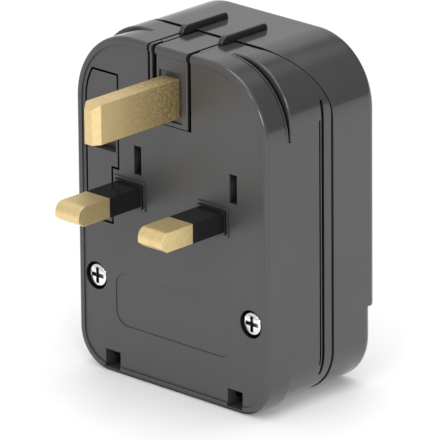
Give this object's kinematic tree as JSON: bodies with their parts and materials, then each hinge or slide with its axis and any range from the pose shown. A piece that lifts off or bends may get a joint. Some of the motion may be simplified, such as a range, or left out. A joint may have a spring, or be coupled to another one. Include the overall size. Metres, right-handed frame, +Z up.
{
  "type": "travel adapter",
  "caption": "Conversion plug with 13 A fused pins in front and, behind a hinged rear cover, a round earthed recess for a two-pin plug.",
  "frame": {"origin": "centre of the bounding box's base: x = 0 is the middle of the width, z = 0 is the flat bottom edge the plug stands on, y = 0 is midway between the earth pin's tip and the rear face", "axes": "+Z up through the earth pin, -Y out along the pins, +X to the right seen from the pin side"},
  "size_m": [0.0516, 0.0534, 0.0721],
  "materials": {
    "casing_plastic": "dark grey moulded plastic, fine satin texture",
    "cover_plastic": "dark grey moulded plastic, fine satin texture",
    "carrier_plastic": "dark grey moulded plastic",
    "sleeve_plastic": "black insulating sleeve",
    "insert_plastic": "dark moulded plastic",
    "hinge_plastic": "dark moulded plastic, glossier than the casing",
    "pin_brass": "solid brass, drawn and lightly tumbled",
    "strip_brass": "pressed brass strip",
    "bright_steel": "nickel plated screw",
    "plain_steel": "drawn steel pin",
    "fuse_ceramic": "glazed white ceramic",
    "cap_nickel": "nickel plated cap"
  },
  "bodies": {
    "casing": {"front_casing": "casing_plastic", "earth_pin_carrier": "casing_plastic", "live_pin": "pin_brass", "neutral_pin": "pin_brass", "earth_pin": "pin_brass", "live_sleeve": "sleeve_plastic", "neutral_sleeve": "sleeve_plastic", "pin_plate": "insert_plastic", "plate_screws": "bright_steel", "socket_insert": "insert_plastic", "live_contact": "strip_brass", "neutral_contact": "strip_brass", "upper_fuse_strip": "strip_brass", "lower_fuse_strip": "strip_brass", "neutral_strip": "strip_brass", "earth_strap": "strip_brass", "upper_earth_clip": "strip_brass", "lower_earth_clip": "strip_brass", "casing_screws": "bright_steel", "screw_bushes": "strip_brass", "hinge_pin": "plain_steel"},
    "fuse_drawer": {"fuse_carrier": "carrier_plastic", "fuse_body": "fuse_ceramic", "fuse_caps": "cap_nickel"},
    "cover": {"rear_cover": "cover_plastic", "hinge_bracket": "hinge_plastic", "bracket_rivets": "plain_steel"}
  },
  "joints": [
    {"name": "cover_hinge", "type": "hinge", "parent": "casing", "child": "cover", "pos_m": [0, 0.00432, 0.06695], "axis": [1, 0, 0], "range_deg": [0, 90]},
    {"name": "fuse_drawer_slide", "type": "slide", "parent": "casing", "child": "fuse_drawer", "axis": [0, -1, 0], "range_m": [0, 0.01]}
  ]
}
